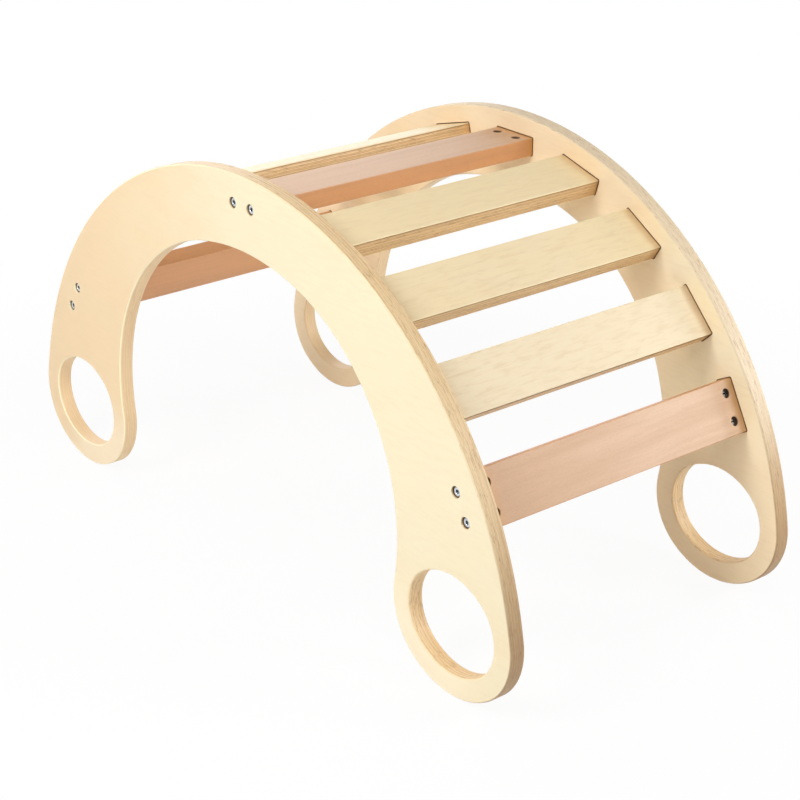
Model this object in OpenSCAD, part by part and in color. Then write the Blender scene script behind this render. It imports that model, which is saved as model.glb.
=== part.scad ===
// Wooden rocker arch for small children. Two crescent side panels of birch
// plywood are joined by nine crossbars: three solid beech bars, which are
// bolted, and six plywood slats, which sit in shallow housings. Stood on its
// feet it is a climbing arch, and turned over it rocks on its outer arc.
// X runs along the arch, Y across it and Z up. The origin is on the floor, at
// the middle of the footprint. All sizes are in millimetres.

/* [Overall] */
// Length over both feet
arch_length = 835; // [810:5:870]
// Height of the crown above the floor
arch_height = 440; // [430:2:460]
// Width over the outer faces of the side panels
arch_width = 390; // [300:10:500]

/* [Side panels] */
// Thickness of the plywood
panel_thickness = 18; // [16:1:24]
// Depth of the crescent at the crown
crown_depth = 80; // [70:2:90]
// Radius of the inner arc under the crown
crown_inner_radius = 313; // [300:1:330]
// Radius of the inner arc that runs down to a foot
haunch_inner_radius = 228; // [219:1:239]
// Radius of the rounded rims
rim_round = 2; // [1:0.5:4]

/* [Hand holes] */
// Width of the oval hole in a foot
hole_width = 123; // [114:1:130]
// Height of the oval hole
hole_height = 106; // [102:2:112]
// Radius of the two ends of the oval
hole_end_radius = 49; // [45:1:50]
// Width of the wood round the hole
foot_wall = 24.5; // [20:0.5:30]

/* [Crossbars] */
// Angle from one crossbar to the next, about the centre of the outer arc
bar_pitch = 15.25; // [14:0.05:15.6]
// Distance from the rim of a side panel in to the outer face of a crossbar
bar_inset = 21.5; // [14:0.5:24]
// Width of a plywood slat
slat_width = 58; // [50:1:64]
// Thickness of a plywood slat
slat_thickness = 18; // [15:1:21]
// Width of a beech bar
beech_width = 58; // [52:1:64]
// Thickness of a beech bar
beech_thickness = 20; // [18:1:24]
// Radius of the long edges of a crossbar
bar_round = 1; // [0.5:0.25:3]

/* [Housings] */
// Depth of the housing that holds the end of a crossbar
housing_depth = 5; // [3:0.5:7]
// Gap round the end of a crossbar in its housing
housing_gap = 0.8; // [0.2:0.1:1]
// Gap between the end of a crossbar and the floor of its housing
end_gap = 0.1; // [0.05:0.05:0.3]

/* [Bolts and barrel nuts] */
// Distance between the two bolts at one end of a beech bar
bolt_spacing = 30; // [26:1:34]
// Diameter of the bolt
bolt_diameter = 6; // [5:0.5:7]
// Length of the bolt under its head
bolt_length = 35; // [33:1:40]
// Diameter of the bolt head
bolt_head_diameter = 10; // [9:0.5:11]
// Height of the bolt head
bolt_head_height = 4; // [3:0.5:5]
// Width of the hexagon socket across its flats
socket_width = 4; // [3:0.5:5]
// Depth of the hexagon socket
socket_depth = 2.2; // [1.5:0.1:2.6]
// Depth of the top of the bolt head below the face of the panel
head_recess = 2; // [0.5:0.25:2.5]
// Diameter of the counterbore that takes the bolt head
counterbore_diameter = 12; // [11.5:0.5:13]
// Radial clearance of the bolt in the wood
bolt_clearance = 0.3; // [0.1:0.1:0.5]
// Depth of the bolt's bore beyond the tip of the bolt
bolt_bore_spare = 2; // [1:0.5:5]
// Diameter of the barrel nut
nut_diameter = 10; // [9:0.5:12]
// Length of the barrel nut
nut_length = 11; // [9:1:14]
// Distance of the barrel nut from the inner face of the panel
nut_setback = 12.5; // [12:0.5:16]
// Radial clearance of the barrel nut in the wood
nut_clearance = 0.2; // [0.1:0.1:0.4]
// Radial clearance of the bolt in the barrel nut
thread_clearance = 0.1; // [0.05:0.05:0.2]
// Width of the screwdriver slot in the end of the barrel nut
slot_width = 1.6; // [1:0.2:2]
// Depth of the screwdriver slot
slot_depth = 1.4; // [1:0.2:2]

/* [Hidden] */

$fn = 180;
birch = [0.96, 0.87, 0.70];
beech = [0.86, 0.68, 0.52];
steel = [0.75, 0.77, 0.80];
past = 1;               // how far a cut runs past the face that it opens in
rim_steps = 3;          // flats in the round of a panel's rim
corner_steps = 4;       // flats in the round of a crossbar's long edge
band = 8;               // width of the bands that carry a panel's rounded rims
core_step = 10;         // degrees between the points of the panel's core
tuck = 0.05;            // depth by which a tucked arc lies inside the arcs it meets
tuck_lap = 1;           // degrees by which a tucked arc runs on into them

// Positions of the crossbars, in pitches from the crown
TOP = 0;
LEFT = -4;
RIGHT = 4;
SLATS = [-3, -2, -1, 1, 2, 3];

// The oval hand hole has two end arcs and two flatter arcs, above and below,
// which meet the end arcs without a kink. The foot is the same oval, drawn
// foot_wall further out.
hole_rise = hole_height / 2;
oval_offset = hole_width / 2 - hole_end_radius;
hole_flat_radius = (pow(oval_offset, 2) + pow(hole_rise, 2) - pow(hole_end_radius, 2))
    / (2 * (hole_rise - hole_end_radius));
oval_drop = hole_flat_radius - hole_rise;
oval_angle = atan2(oval_drop, oval_offset);
foot_end_radius = hole_end_radius + foot_wall;
foot_z = hole_rise + foot_wall;
foot_tip_x = arch_length / 2 - foot_end_radius;
foot_x = foot_tip_x - oval_offset;
outer_end = [foot_tip_x, foot_z];
inner_end = [foot_x - oval_offset, foot_z];
oval_top = [foot_x, foot_z - oval_drop];
oval_bottom = [foot_x, foot_z + oval_drop];

// The outer arc passes over the crown and touches the outer end of each foot.
crown_over_foot = arch_height - foot_z;
outer_radius = (pow(foot_tip_x, 2) + pow(crown_over_foot, 2) - pow(foot_end_radius, 2))
    / (2 * (crown_over_foot - foot_end_radius));
outer_centre = [0, arch_height - outer_radius];
outer_angle = direction(outer_centre, outer_end);

// The haunch arc touches the inner arc of the crown and the inner end of a foot.
crown_centre = [0, arch_height - crown_depth - crown_inner_radius];
haunch_centre = meeting_point(crown_centre, crown_inner_radius - haunch_inner_radius,
                              inner_end, haunch_inner_radius + foot_end_radius);
haunch_angle = direction(crown_centre, haunch_centre);
neck_angle = direction(inner_end, haunch_centre);

// Crossbars: the outer faces lie on one circle about the outer arc's centre.
bar_radius = outer_radius - bar_inset;
bar_length = arch_width - 2 * (panel_thickness - housing_depth + end_gap);
bolt_depth = beech_thickness / 2;
bolt_seat = head_recess + bolt_head_height;
bolt_bore = bolt_diameter + 2 * bolt_clearance;
bolt_bore_depth = bolt_seat + bolt_length + bolt_bore_spare;
nut_bore = nut_diameter + 2 * nut_clearance;
nut_y = arch_width / 2 - panel_thickness - nut_setback;

// --- Plane geometry ---------------------------------------------------------

function direction(from, to) = atan2(to[1] - from[1], to[0] - from[0]);
function on_circle(centre, radius, angle) = centre + radius * [cos(angle), sin(angle)];
function reversed(list) = [for (i = [len(list) - 1:-1:0]) list[i]];

// Point at distance ra from a and rb from b, on the left of the line from a to b
function meeting_point(a, ra, b, rb) =
    let (gap = norm(b - a),
         along = (gap * gap + ra * ra - rb * rb) / (2 * gap),
         aside = sqrt(ra * ra - along * along),
         unit = (b - a) / gap)
    a + along * unit + aside * [-unit[1], unit[0]];

// Outline of a rectangle with rounded corners, centred on the origin
function rounded_rectangle(width, height, radius) =
    [for (turn = [0:3], step = [0:corner_steps])
        let (sx = turn == 0 || turn == 3 ? 1 : -1,
             sy = turn < 2 ? 1 : -1)
        on_circle([sx * (width / 2 - radius), sy * (height / 2 - radius)],
                  radius, 90 * (turn + step / corner_steps))];

// --- Side panels ------------------------------------------------------------
// A panel is drawn lying down, with its outer face on z = 0. It is a flat core
// with a band along each arc of its edge, and the bands carry the rounded rims.

// An arc is [centre, radius, start, end, side, tucked]. The wood is on side 1,
// inside the circle, or on side -1, outside it. Where two arcs meet smoothly, one
// of them is tucked: it lies a little deeper and runs on into the other.
CENTRE = 0;
RADIUS = 1;
START = 2;
END = 3;
SIDE = 4;
TUCKED = 5;

outer_crown = [outer_centre, outer_radius, 180 - outer_angle, outer_angle, 1, false];
inner_crown = [crown_centre, crown_inner_radius, haunch_angle, 180 - haunch_angle, -1, true];
right_foot = [
    [outer_end, foot_end_radius, outer_angle, -oval_angle, 1, true],
    [oval_bottom, hole_flat_radius + foot_wall, -oval_angle, oval_angle - 180, 1, false],
    [inner_end, foot_end_radius, oval_angle - 180, neck_angle - 360, 1, true],
    [haunch_centre, haunch_inner_radius, neck_angle - 180, haunch_angle, -1, false]
];
right_hole = [
    [outer_end, hole_end_radius, -oval_angle, oval_angle, -1, false],
    [oval_top, hole_flat_radius, oval_angle, 180 - oval_angle, -1, true],
    [inner_end, hole_end_radius, 180 - oval_angle, 180 + oval_angle, -1, false],
    [oval_bottom, hole_flat_radius, 180 + oval_angle, 360 - oval_angle, -1, true]
];

// Points of the core along an arc, half a band inside the wood
function core_points(arc) =
    let (steps = ceil(abs(arc[END] - arc[START]) / core_step),
         stride = (arc[END] - arc[START]) / steps)
    [for (i = [0:steps - 1])
        on_circle(arc[CENTRE], arc[RADIUS] - arc[SIDE] * band / 2, arc[START] + (i + 0.5) * stride)];

module core() {
    right = [for (arc = right_foot) each core_points(arc)];
    left = [for (point = reversed(right)) [-point[0], point[1]]];
    linear_extrude(panel_thickness) difference() {
        polygon(concat(core_points(outer_crown), right, core_points(inner_crown), left));
        for (side = [0, 1]) mirror([side, 0])
            polygon([for (arc = right_hole) each core_points(arc)]);
    }
}

// Section through a rim band: how deep in the wood, and how far from the outer face
function rim_section() =
    let (quarter = [for (i = [0:rim_steps])
             rim_round * [1 - cos(90 * i / rim_steps), 1 - sin(90 * i / rim_steps)]])
    concat(quarter, [[band, 0], [band, panel_thickness]],
           [for (point = reversed(quarter)) [point[0], panel_thickness - point[1]]]);

module rim_band(arc) {
    lap = arc[TUCKED] ? tuck_lap : 0;
    face = arc[RADIUS] - arc[SIDE] * (arc[TUCKED] ? tuck : 0);
    translate([arc[CENTRE][0], arc[CENTRE][1], 0])
        rotate_extrude(start = min(arc[START], arc[END]) - lap,
                       angle = abs(arc[END] - arc[START]) + 2 * lap)
            polygon([for (point = rim_section()) [face - arc[SIDE] * point[0], point[1]]]);
}

module panel_blank() {
    core();
    rim_band(outer_crown);
    rim_band(inner_crown);
    for (side = [0, 1]) mirror([side, 0, 0])
        for (arc = concat(right_foot, right_hole)) rim_band(arc);
}

// Places its children on the panel where a crossbar's outer face has its middle
module at_bar_on_panel(index) {
    translate([outer_centre[0], outer_centre[1], 0])
        rotate([0, 0, -index * bar_pitch])
            translate([0, bar_radius, 0])
                children();
}

module housing(width, thickness) {
    gaps = 2 * housing_gap;
    translate([0, -thickness / 2, panel_thickness - housing_depth])
        linear_extrude(housing_depth + past)
            polygon(rounded_rectangle(width + gaps, thickness + gaps, bar_round + housing_gap));
}

module bolt_holes() {
    for (side = [-1, 1]) translate([side * bolt_spacing / 2, -bolt_depth, 0]) {
        translate([0, 0, -past]) cylinder(d = counterbore_diameter, h = bolt_seat + past);
        cylinder(d = bolt_bore, h = panel_thickness + past);
    }
}

module side_panel() {
    color(birch)
        translate([0, arch_width / 2, 0])
            rotate([90, 0, 0])
                difference() {
                    panel_blank();
                    for (index = SLATS) at_bar_on_panel(index) housing(slat_width, slat_thickness);
                    for (index = [LEFT, TOP, RIGHT]) at_bar_on_panel(index) {
                        housing(beech_width, beech_thickness);
                        bolt_holes();
                    }
                }
}

module far_side_panel() {
    side_panel();
}

module near_side_panel() {
    rotate([0, 0, 180]) side_panel();
}

// --- Crossbars --------------------------------------------------------------

// Places its children with the middle of a crossbar's outer face at the origin,
// x along the arch and z outwards
module at_bar(index) {
    translate([outer_centre[0], 0, outer_centre[1]])
        rotate([0, index * bar_pitch, 0])
            translate([0, 0, bar_radius])
                children();
}

module crossbar(width, thickness) {
    translate([0, 0, -thickness / 2])
        rotate([90, 0, 0])
            linear_extrude(bar_length, center = true)
                polygon(rounded_rectangle(width, thickness, bar_round));
}

module slat(index) {
    color(birch) at_bar(index) crossbar(slat_width, slat_thickness);
}

// Repeats its children for the two fasteners at one end: 1 is far, -1 is near
module at_end_pair(end) {
    rotate([0, 0, end > 0 ? 0 : 180])
        for (side = [-1, 1]) translate([side * bolt_spacing / 2, 0, -bolt_depth]) children();
}

module beech_bar(index) {
    color(beech) at_bar(index) difference() {
        crossbar(beech_width, beech_thickness);
        for (end = [-1, 1]) at_end_pair(end) {
            translate([0, arch_width / 2, 0])
                rotate([90, 0, 0]) cylinder(d = bolt_bore, h = bolt_bore_depth);
            translate([0, nut_y, -nut_length / 2])
                cylinder(d = nut_bore, h = nut_length / 2 + bolt_depth + past);
        }
    }
}

// --- Bolts and barrel nuts --------------------------------------------------

// A bolt lies along Y, with its head towards the outer face of the far panel
module bolt() {
    translate([0, arch_width / 2 - head_recess, 0]) rotate([90, 0, 0])
        difference() {
            union() {
                cylinder(d = bolt_head_diameter, h = bolt_head_height);
                cylinder(d = bolt_diameter, h = bolt_head_height + bolt_length);
            }
            translate([0, 0, -past])
                cylinder(d = socket_width / cos(30), h = socket_depth + past, $fn = 6);
        }
}

module bolts(index, end) {
    color(steel) at_bar(index) at_end_pair(end) bolt();
}

module barrel_nut() {
    translate([0, nut_y, 0]) difference() {
        cylinder(d = nut_diameter, h = nut_length, center = true);
        rotate([90, 0, 0])
            cylinder(d = bolt_diameter + 2 * thread_clearance, h = nut_diameter + 2 * past, center = true);
        translate([0, 0, nut_length / 2])
            cube([slot_width, nut_diameter + 2 * past, 2 * slot_depth], center = true);
    }
}

module barrel_nuts(index, end) {
    color(steel) at_bar(index) at_end_pair(end) barrel_nut();
}

// --- Nodes ------------------------------------------------------------------

near_side_panel();
far_side_panel();
beech_bar(TOP);  // top_beech_bar
beech_bar(LEFT);  // left_beech_bar
beech_bar(RIGHT);  // right_beech_bar
slat(-1);  // slat_left_upper
slat(-2);  // slat_left_middle
slat(-3);  // slat_left_lower
slat(1);  // slat_right_upper
slat(2);  // slat_right_middle
slat(3);  // slat_right_lower
bolts(TOP, -1);  // bolts_top_near
bolts(TOP, 1);  // bolts_top_far
bolts(LEFT, -1);  // bolts_left_near
bolts(LEFT, 1);  // bolts_left_far
bolts(RIGHT, -1);  // bolts_right_near
bolts(RIGHT, 1);  // bolts_right_far
barrel_nuts(TOP, -1);  // barrel_nuts_top_near
barrel_nuts(TOP, 1);  // barrel_nuts_top_far
barrel_nuts(LEFT, -1);  // barrel_nuts_left_near
barrel_nuts(LEFT, 1);  // barrel_nuts_left_far
barrel_nuts(RIGHT, -1);  // barrel_nuts_right_near
barrel_nuts(RIGHT, 1);  // barrel_nuts_right_far
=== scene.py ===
# %% [markdown]
# # A wooden rocker arch
# Two crescent panels of birch plywood stand side by side. Nine crossbars run between them: three
# of solid beech, which are bolted, and six of plywood, whose ends sit in shallow housings.
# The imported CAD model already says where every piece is, so this lesson is about surfaces: how
# to make meshes whose edges catch the light as sanded wood does, and how to build veneer,
# plywood edges, beech and zinc out of shader nodes alone.
#
# The frame comes first. Everything below is in metres, in the frame of the CAD model.

# %% Load the frame
import math

import bmesh
import bpy
from mathutils import Matrix, Vector


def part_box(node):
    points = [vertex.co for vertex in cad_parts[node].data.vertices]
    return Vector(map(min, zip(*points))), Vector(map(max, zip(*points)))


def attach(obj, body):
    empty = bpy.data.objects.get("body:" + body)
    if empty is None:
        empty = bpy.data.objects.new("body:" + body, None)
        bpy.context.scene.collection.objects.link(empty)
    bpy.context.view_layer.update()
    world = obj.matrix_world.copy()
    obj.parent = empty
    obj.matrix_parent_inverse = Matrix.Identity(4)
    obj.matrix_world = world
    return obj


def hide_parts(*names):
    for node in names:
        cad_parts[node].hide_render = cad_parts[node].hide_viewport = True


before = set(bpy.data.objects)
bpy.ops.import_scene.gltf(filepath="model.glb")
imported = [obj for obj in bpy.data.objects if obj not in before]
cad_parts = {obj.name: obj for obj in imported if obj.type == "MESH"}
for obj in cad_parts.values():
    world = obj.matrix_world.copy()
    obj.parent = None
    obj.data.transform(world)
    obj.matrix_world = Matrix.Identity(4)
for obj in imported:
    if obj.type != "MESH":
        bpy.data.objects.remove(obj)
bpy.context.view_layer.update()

# %% [markdown]
# ## Sizes
# The overall sizes are read from the frame, so the pieces made here can't drift from the CAD.
# The frame doesn't say which radius a curve has, so the arcs' own sizes are written again here,
# in millimetres times `MM`, as the drawing of the arch gives them.

# %% Sizes of the arch
MM = 0.001

far_low, far_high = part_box("far_side_panel")
arch_length = far_high.x - far_low.x
arch_height = far_high.z
arch_width = 2 * far_high.y
panel_thickness = far_high.y - far_low.y
outer_face = arch_width / 2
inner_face = outer_face - panel_thickness

crown_depth = 80 * MM
crown_inner_radius = 313 * MM
haunch_inner_radius = 228 * MM
rim_round = 2 * MM
hole_width = 123 * MM
hole_height = 106 * MM
hole_end_radius = 49 * MM
foot_wall = 24.5 * MM

bar_pitch = math.radians(15.25)
bar_inset = 21.5 * MM
slat_width, slat_thickness = 58 * MM, 18 * MM
beech_width, beech_thickness = 58 * MM, 20 * MM
bar_round = 1 * MM
housing_depth = 5 * MM
housing_gap = 0.8 * MM
end_gap = 0.1 * MM
bar_length = 2 * (inner_face + housing_depth - end_gap)

bolt_spacing = 30 * MM
bolt_bore = 6.6 * MM
counterbore = 12 * MM
head_recess = 2 * MM
head_height = 4 * MM
nut_setback = 12.5 * MM
nut_diameter = 10 * MM
nut_length = 11 * MM
nut_bore = 10.4 * MM

TOP, LEFT, RIGHT = 0, -4, 4
BEECH_BARS = (LEFT, TOP, RIGHT)
SLATS = (-3, -2, -1, 1, 2, 3)
print(f"arch {arch_length:.4f} x {arch_width:.4f} x {arch_height:.4f} m,",
      f"plywood {panel_thickness:.4f} m")

# %% [markdown]
# ## The outline as arcs
# A craftsperson would draw the crescent with compasses: one big arc over the crown, an oval at
# each foot and two smaller arcs for the inside. Where two arcs meet, their centres and the
# meeting point lie on one line, so the edge has no kink. Keeping the arcs, and not a list of
# points, means that the same drawing gives a coarse outline, a fine one, or one that is moved
# into the wood by the depth of a rounded rim.

# %% Arcs of the outline
def direction(start, end):
    """Angle of the line from start to end."""
    return math.atan2(end.y - start.y, end.x - start.x)


def on_circle(centre, radius, angle):
    return centre + radius * Vector((math.cos(angle), math.sin(angle)))


def meeting_point(a, reach_a, b, reach_b):
    """Point at its two distances from a and b, on the left of the line from a to b."""
    gap = b - a
    along = (gap.length_squared + reach_a**2 - reach_b**2) / (2 * gap.length)
    aside = math.sqrt(reach_a**2 - along**2)
    unit = gap.normalized()
    return a + along * unit + aside * Vector((-unit.y, unit.x))


def spanning_radius(reach, rise, end_radius):
    """Radius of an arc that touches two end circles, at reach on either side of its middle.

    rise is the height of the arc's crown above the centres of those circles.
    """
    return (reach**2 + rise**2 - end_radius**2) / (2 * (rise - end_radius))


oval_offset = hole_width / 2 - hole_end_radius
hole_rise = hole_height / 2
hole_flat_radius = spanning_radius(oval_offset, hole_rise, hole_end_radius)
oval_drop = hole_flat_radius - hole_rise
oval_angle = math.atan2(oval_drop, oval_offset)
foot_end_radius = hole_end_radius + foot_wall
foot_height = hole_rise + foot_wall
outer_end = Vector((arch_length / 2 - foot_end_radius, foot_height))
foot_centre = outer_end - Vector((oval_offset, 0))
inner_end = foot_centre - Vector((oval_offset, 0))
oval_top = foot_centre - Vector((0, oval_drop))
oval_bottom = foot_centre + Vector((0, oval_drop))

outer_radius = spanning_radius(outer_end.x, arch_height - foot_height, foot_end_radius)
outer_centre = Vector((0, arch_height - outer_radius))
outer_angle = direction(outer_centre, outer_end)
crown_centre = Vector((0, arch_height - crown_depth - crown_inner_radius))
haunch_centre = meeting_point(crown_centre, crown_inner_radius - haunch_inner_radius,
                              inner_end, haunch_inner_radius + foot_end_radius)
haunch_angle = direction(crown_centre, haunch_centre)
neck_angle = direction(inner_end, haunch_centre)
bar_radius = outer_radius - bar_inset

# An arc is (centre, radius, start, end, side): the wood is on side 1, inside the circle, or on
# side -1, outside it.
half_turn, full_turn = math.pi, 2 * math.pi
crown_arc = (outer_centre, outer_radius, half_turn - outer_angle, outer_angle, 1)
under_crown_arc = (crown_centre, crown_inner_radius, haunch_angle, half_turn - haunch_angle, -1)
right_foot_arcs = [
    (outer_end, foot_end_radius, outer_angle, -oval_angle, 1),
    (oval_bottom, hole_flat_radius + foot_wall, -oval_angle, oval_angle - half_turn, 1),
    (inner_end, foot_end_radius, oval_angle - half_turn, neck_angle - full_turn, 1),
    (haunch_centre, haunch_inner_radius, neck_angle - half_turn, haunch_angle, -1),
]
right_hole_arcs = [
    (outer_end, hole_end_radius, -oval_angle, oval_angle, -1),
    (oval_top, hole_flat_radius, oval_angle, half_turn - oval_angle, -1),
    (inner_end, hole_end_radius, half_turn - oval_angle, half_turn + oval_angle, -1),
    (oval_bottom, hole_flat_radius, half_turn + oval_angle, full_turn - oval_angle, -1),
]


def mirrored_arc(arc):
    """The arc on the other side of the arch, drawn the same way round."""
    centre, radius, start, end, side = arc
    return (Vector((-centre.x, centre.y)), radius, half_turn - end, half_turn - start, side)


outline_arcs = [crown_arc, *right_foot_arcs, under_crown_arc,
                *[mirrored_arc(arc) for arc in reversed(right_foot_arcs)]]
left_hole_arcs = [mirrored_arc(arc) for arc in reversed(right_hole_arcs)]
print(f"outer radius {outer_radius / MM:.1f} mm about z = {outer_centre.y / MM:.1f} mm")

# %% [markdown]
# ## A plate made of rings
# A Bevel modifier on a cut-out plate leaves long, uneven faces round the holes. Here the
# plate is built ring by ring instead. Each ring is the outline moved into the wood by some
# distance, at some depth below the face, and two neighbouring rings are joined by quads. A
# quarter circle of such rings is a rounded rim, and it has the same clean faces all the way
# round. The flat faces between the rings are filled last.

# %% Points of the rings
ring_step = 3.5 * MM
rim_segments = 6
round_steps = 48


def ring_points(arcs, inset):
    """Points round a closed chain of arcs, moved into the wood by inset."""
    points = []
    for centre, radius, start, end, side in arcs:
        count = math.ceil(radius * abs(end - start) / ring_step)
        for i in range(count):
            angle = start + (end - start) * i / count
            points.append(on_circle(centre, radius - side * inset, angle))
    return points


def circle_points(centre, radius, count=round_steps):
    return [on_circle(centre, radius, full_turn * i / count) for i in range(count)]


def quarter_round(radius, steps):
    """(inset, depth) of each ring of a rounded edge, from the face round to the side."""
    angles = [half_turn / 2 * i / steps for i in range(steps + 1)]
    return [(radius * (1 - math.sin(a)), radius * (1 - math.cos(a))) for a in angles]


def on_bar(index, across, outwards):
    """Point on a panel, from a crossbar's middle: across its width and out of its outer face."""
    angle = index * bar_pitch
    along = Vector((math.cos(angle), -math.sin(angle)))
    out = Vector((math.sin(angle), math.cos(angle)))
    return outer_centre + across * along + (bar_radius + outwards) * out


def housing_points(index, width, thickness, grow, steps=6):
    """Outline of the housing that a crossbar's end sits in, widened by grow."""
    radius = bar_round + grow
    half_width, half_height = width / 2 + grow, thickness / 2 + grow
    points = []
    for turn, (sx, sy) in enumerate(((1, 1), (-1, 1), (-1, -1), (1, -1))):
        corner = Vector((sx * (half_width - radius), sy * (half_height - radius)))
        for step in range(steps + 1):
            p = on_circle(corner, radius, (turn + step / steps) * half_turn / 2)
            points.append(on_bar(index, p.x, p.y - thickness / 2))
    return points


# %% A plate from rings
def join_rings(mesh, rings, slot=0):
    """Joins each ring of vertices to the next with quads in a material slot."""
    for one, two in zip(rings, rings[1:]):
        for i in range(len(one)):
            j = (i + 1) % len(one)
            mesh.faces.new((one[i], one[j], two[j], two[i])).material_index = slot


def as_mesh(name, mesh):
    """Plain mesh data from a bmesh, which is freed."""
    made = bpy.data.meshes.new(name)
    mesh.to_mesh(made)
    mesh.free()
    return made


def add_object(name, data):
    made = bpy.data.objects.new(name, data)
    bpy.context.scene.collection.objects.link(made)
    return made


class Plate:
    """A mesh built from rings, at depths below the panel's outer face."""

    def __init__(self, side):
        self.mesh = bmesh.new()
        self.side = side

    def wall(self, steps, slot=0):
        """Joins a ring for each step's points and depth, and returns the first and the last."""
        rings = []
        for points, depth in steps:
            y = self.side * (outer_face - depth)
            rings.append([self.mesh.verts.new((p.x, y, p.y)) for p in points])
        join_rings(self.mesh, rings, slot)
        return rings[0], rings[-1]

    def fill(self, rings, slot=0):
        """Fills the flat face that the rings bound, leaving the inner ones as holes."""
        edges = [self.mesh.edges.get(pair) or self.mesh.edges.new(pair)
                 for ring in rings for pair in zip(ring, ring[1:] + ring[:1])]
        made = bmesh.ops.triangle_fill(self.mesh, edges=edges, use_beauty=True,
                                       normal=(0, self.side, 0))
        for face in (f for f in made["geom"] if isinstance(f, bmesh.types.BMFace)):
            face.material_index = slot

    def finish(self, name):
        bmesh.ops.recalc_face_normals(self.mesh, faces=self.mesh.faces)
        return add_object(name, as_mesh(name, self.mesh))


# %% [markdown]
# Smooth shading averages the normals of the faces round a vertex. Next to a rounded rim that
# would bend the light on the big flat face as well. A Weighted Normal modifier lets the
# largest face at each vertex decide, which keeps flat faces flat and the rims round. Edges
# sharper than 35 degrees, such as a housing's, are marked sharp first.

# %% Shade a finished piece
SHARP_ANGLE = math.radians(35)


def evaluated_mesh(piece):
    """The piece's mesh as its modifiers leave it."""
    graph = bpy.context.evaluated_depsgraph_get()
    return bpy.data.meshes.new_from_object(piece.evaluated_get(graph), depsgraph=graph)


def settle(piece):
    """Smooth shading with flat faces kept flat, stored in the mesh."""
    piece.data.shade_smooth()
    piece.data.set_sharp_from_angle(angle=SHARP_ANGLE)
    weigh = piece.modifiers.new("Weighted normal", "WEIGHTED_NORMAL")
    weigh.keep_sharp = True
    made = evaluated_mesh(piece)
    piece.modifiers.clear()
    made.name = piece.name
    piece.data = made
    print(f"{piece.name}: {sum(len(p.vertices) - 2 for p in made.polygons)} triangles")
    return piece


# %% [markdown]
# ## The side panels
# Each panel has a rounded rim round its outline and round both hand holes. Its inner face has
# nine housings, and its outer face six counterbores. On the real panel a router cuts all of
# these, so their mouths are crisp, with just the edge taken off by sandpaper.

# %% Build the two panels
HOUSING_SLOT = 1
edge_break = 0.3 * MM
floor_depth = panel_thickness - housing_depth
bolt_seat = head_recess + head_height

# (inset, depth) of each ring of a rim, (widening, depth) of a housing's, (radius, depth) of a
# bolt hole's.
quarter = quarter_round(rim_round, rim_segments)
rim_steps = quarter + [(inset, panel_thickness - depth) for inset, depth in reversed(quarter)]
housing_steps = ((edge_break, panel_thickness), (0, panel_thickness - edge_break), (0, floor_depth))
bolt_hole_steps = ((counterbore / 2 + edge_break, 0), (counterbore / 2, edge_break),
                   (counterbore / 2, bolt_seat), (bolt_bore / 2, bolt_seat),
                   (bolt_bore / 2, floor_depth))


def side_panel(name, side):
    plate = Plate(side)
    outer_rings, inner_rings = [], []
    for arcs in (outline_arcs, right_hole_arcs, left_hole_arcs):
        outer, inner = plate.wall((ring_points(arcs, inset), depth) for inset, depth in rim_steps)
        outer_rings.append(outer)
        inner_rings.append(inner)
    for index in (*BEECH_BARS, *SLATS):
        beech = index in BEECH_BARS
        size = (beech_width, beech_thickness) if beech else (slat_width, slat_thickness)
        mouth, bottom = plate.wall(((housing_points(index, *size, housing_gap + grow), depth)
                                    for grow, depth in housing_steps), HOUSING_SLOT)
        inner_rings.append(mouth)
        floor = [bottom]
        for end in (-1, 1) if beech else ():
            centre = on_bar(index, end * bolt_spacing / 2, -beech_thickness / 2)
            mouth, bottom = plate.wall(((circle_points(centre, radius), depth)
                                        for radius, depth in bolt_hole_steps), HOUSING_SLOT)
            outer_rings.append(mouth)
            floor.append(bottom)
        plate.fill(floor, HOUSING_SLOT)
    plate.fill(outer_rings)
    plate.fill(inner_rings)
    return settle(plate.finish(name))


far_panel = side_panel("far_panel", 1)
near_panel = side_panel("near_panel", -1)

# %% [markdown]
# ## One way to write nodes
# Both the shaders and the Geometry Nodes below are built in the script. Two small classes keep
# that readable. `Wire` stands for an output socket, and Python's operators on it add Math
# nodes. `Graph.add` adds any other node: its type, its settings, then its sockets.

# %% Wires
def maths(operation, reflected=False):
    """A method that adds a Math node. A reflected one has its own wire as the last input."""
    def method(wire, *others):
        values = (*others, wire) if reflected else (wire, *others)
        return wire.graph.add("ShaderNodeMath", {"operation": operation}, dict(enumerate(values)))
    return method


class Wire:
    """An output socket. Arithmetic on it adds Math nodes to its tree."""

    def __init__(self, graph, socket):
        self.graph, self.socket = graph, socket

    def other(self, name):
        """Another output of the same node."""
        return Wire(self.graph, named_socket(self.socket.node.outputs, name))

    __add__ = maths("ADD")
    __radd__ = maths("ADD", reflected=True)
    __sub__ = maths("SUBTRACT")
    __rsub__ = maths("SUBTRACT", reflected=True)
    __mul__ = maths("MULTIPLY")
    __rmul__ = maths("MULTIPLY", reflected=True)
    __truediv__ = maths("DIVIDE")
    __rtruediv__ = maths("DIVIDE", reflected=True)
    __mod__ = maths("FLOORED_MODULO")
    __rmod__ = maths("FLOORED_MODULO", reflected=True)
    __pow__ = maths("POWER")
    __rpow__ = maths("POWER", reflected=True)
    __gt__ = maths("GREATER_THAN")
    __lt__ = maths("LESS_THAN")
    __abs__ = maths("ABSOLUTE")
    floor = maths("FLOOR")
    sine = maths("SINE")
    cosine = maths("COSINE")
    or_more = maths("MAXIMUM")


def distance(x, y):
    """How far a point at x and y is from zero."""
    return (x * x + y * y) ** 0.5


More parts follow.
